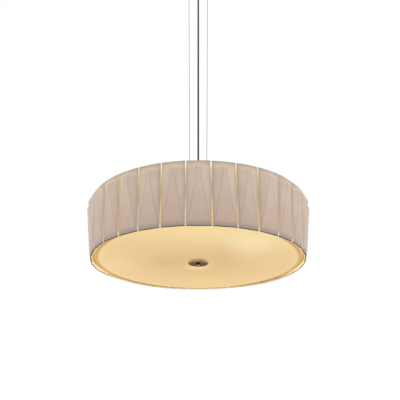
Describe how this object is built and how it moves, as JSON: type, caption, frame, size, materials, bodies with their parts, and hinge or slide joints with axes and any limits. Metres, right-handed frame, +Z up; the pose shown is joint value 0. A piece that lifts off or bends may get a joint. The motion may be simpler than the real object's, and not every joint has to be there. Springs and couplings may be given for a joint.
{
  "type": "pendant light",
  "caption": "Round pendant light: faceted glazed ceramic tiles hung round a lit opal drum, opal dish diffuser with finial, held by steel cables and a cord from a ceiling canopy.",
  "frame": {"origin": "centre of the ceiling bracket's flat top face", "axes": "+Z up along the cord into the ceiling, +X from the left cable to the right one, -Y towards the front tile"},
  "size_m": [0.6032, 0.6056, 0.9582],
  "materials": {
    "glazed_tile": "satin glaze, thinner and bluer on the edges",
    "opal_sheet": "opal sheet, lit from inside",
    "opal_glass": "opal, lit from inside",
    "dark_bronze": "dark bronze, satin",
    "frame_paint": "off-white powder coat",
    "steel_cable": "stranded steel",
    "satin_nickel": "satin nickel",
    "cord_jacket": "dark brown jacket",
    "holder_plastic": "black moulding",
    "bulb_glass": "frosted",
    "terminal_plastic": "off-white moulding"
  },
  "bodies": {
    "ceiling": {"ceiling_bracket": "frame_paint", "canopy": "dark_bronze", "terminal_block": "terminal_plastic", "cable_gripper_left": "satin_nickel", "cable_gripper_right": "satin_nickel", "canopy_cord_grip": "holder_plastic", "cord_tail": "cord_jacket"},
    "pendant": {"supply_cord": "cord_jacket", "suspension_cable_left": "steel_cable", "suspension_cable_right": "steel_cable", "cable_anchor_left": "satin_nickel", "cable_anchor_right": "satin_nickel", "hub_cord_gland": "dark_bronze", "spider": "frame_paint", "top_ring": "frame_paint", "bottom_frame": "frame_paint", "opal_drum": "opal_sheet", "cluster_cup": "frame_paint", "lamp_holder_1": "holder_plastic", "lamp_holder_2": "holder_plastic", "lamp_holder_3": "holder_plastic", "stem": "satin_nickel", "tile_01": "glazed_tile", "tile_02": "glazed_tile", "tile_03": "glazed_tile", "tile_04": "glazed_tile", "tile_05": "glazed_tile", "tile_06": "glazed_tile", "tile_07": "glazed_tile", "tile_08": "glazed_tile", "tile_09": "glazed_tile", "tile_10": "glazed_tile", "tile_11": "glazed_tile", "tile_12": "glazed_tile", "tile_13": "glazed_tile", "tile_14": "glazed_tile", "tile_15": "glazed_tile", "tile_16": "glazed_tile", "tile_17": "glazed_tile", "tile_18": "glazed_tile", "tile_19": "glazed_tile", "tile_20": "glazed_tile", "tile_21": "glazed_tile", "tile_22": "glazed_tile", "tile_23": "glazed_tile", "tile_24": "glazed_tile", "tile_25": "glazed_tile", "tile_26": "glazed_tile", "tile_27": "glazed_tile", "tile_28": "glazed_tile", "tile_29": "glazed_tile", "tile_30": "glazed_tile"},
    "release_left": {"release_collar_left": "satin_nickel"},
    "release_right": {"release_collar_right": "satin_nickel"},
    "bulb_one": {"bulb_1": "bulb_glass"},
    "bulb_two": {"bulb_2": "bulb_glass"},
    "bulb_three": {"bulb_3": "bulb_glass"},
    "diffuser": {"diffuser_dish": "opal_glass", "finial_disc": "dark_bronze"},
    "finial": {"finial_knob": "dark_bronze"}
  },
  "joints": [
    {"name": "pendant_swing", "type": "hinge", "parent": "ceiling", "child": "pendant", "pos_m": [0, 0, -0.0546], "axis": [1, 0, 0], "range_deg": [-12, 12]},
    {"name": "left_release", "type": "slide", "parent": "ceiling", "child": "release_left", "axis": [0, 0, 1], "range_m": [0, 0.002], "stiffness_N_per_m": 300, "springref_m": -0.002},
    {"name": "right_release", "type": "slide", "parent": "ceiling", "child": "release_right", "axis": [0, 0, 1], "range_m": [0, 0.002], "stiffness_N_per_m": 300, "springref_m": -0.002},
    {"name": "bulb_one_screw", "type": "hinge", "parent": "pendant", "child": "bulb_one", "pos_m": [0, 0, -0.8287], "axis": [0.1045, -0.9945, 0], "continuous": true},
    {"name": "bulb_two_screw", "type": "hinge", "parent": "pendant", "child": "bulb_two", "pos_m": [0, 0, -0.8287], "axis": [0.809, 0.5878, 0], "continuous": true},
    {"name": "bulb_three_screw", "type": "hinge", "parent": "pendant", "child": "bulb_three", "pos_m": [0, 0, -0.8287], "axis": [-0.9135, 0.4067, 0], "continuous": true},
    {"name": "diffuser_drop", "type": "slide", "parent": "pendant", "child": "diffuser", "axis": [0, 0, -1], "range_m": [0, 0.12]},
    {"name": "finial_turn", "type": "hinge", "parent": "diffuser", "child": "finial", "pos_m": [0, 0, -0.9506], "axis": [0, 0, 1], "continuous": true}
  ]
}
